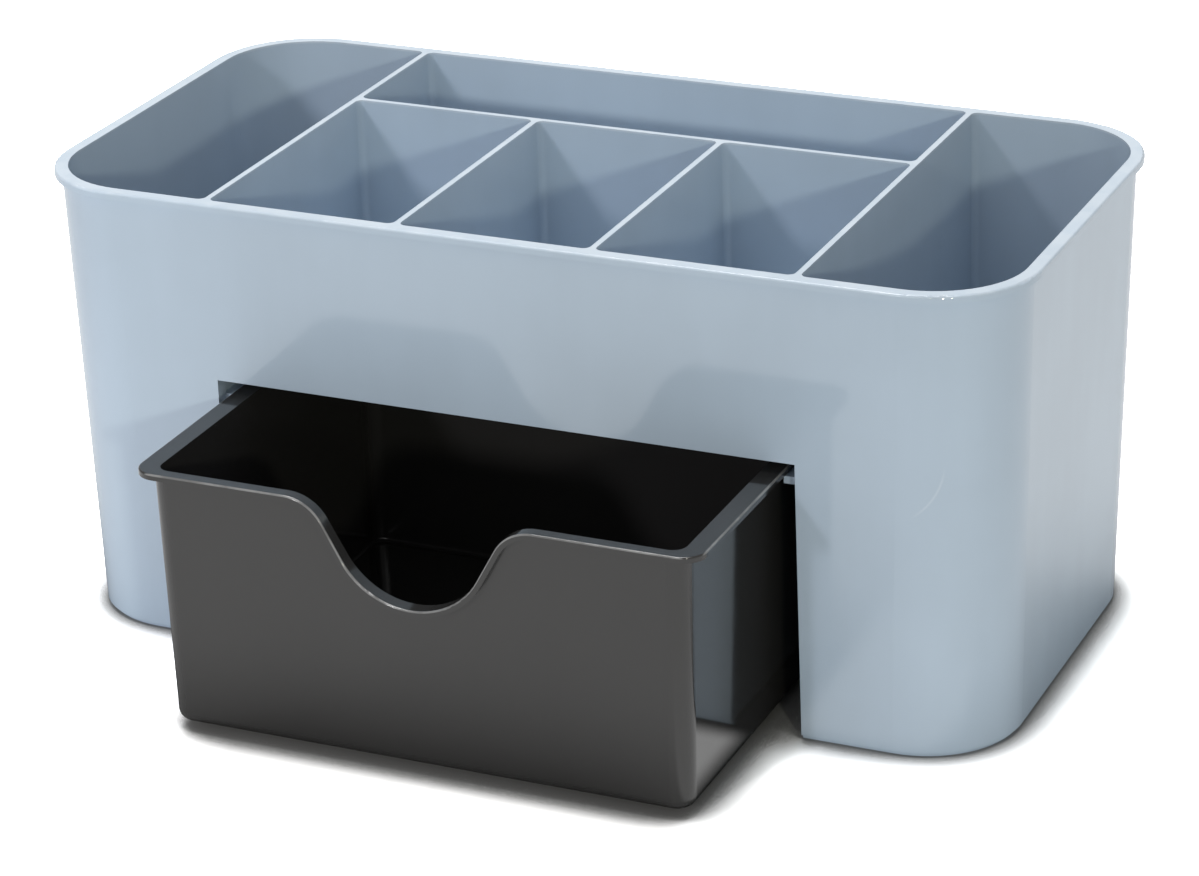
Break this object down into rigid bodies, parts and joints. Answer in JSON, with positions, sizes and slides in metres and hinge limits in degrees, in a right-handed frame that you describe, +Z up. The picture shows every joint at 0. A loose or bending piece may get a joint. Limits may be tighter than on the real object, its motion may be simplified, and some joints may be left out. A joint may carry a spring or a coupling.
{
  "type": "desk organizer with drawer",
  "caption": "Rounded oblong desk organizer: an open-topped box divided into compartments, with a low slide-out drawer that has a finger scoop in its front.",
  "frame": {"origin": "middle of the housing's footprint, on the desk", "axes": "+X along the long side, -Y out through the drawer front, +Z up"},
  "size_m": [0.22, 0.1544, 0.1026],
  "materials": {
    "housing_plastic": "satin",
    "drawer_plastic": "satin"
  },
  "bodies": {
    "housing": {"housing": "housing_plastic"},
    "drawer": {"drawer": "drawer_plastic"}
  },
  "joints": [
    {"name": "drawer_slide", "type": "slide", "parent": "housing", "child": "drawer", "axis": [0, -1, 0], "range_m": [-0.0434, 0.025]}
  ]
}
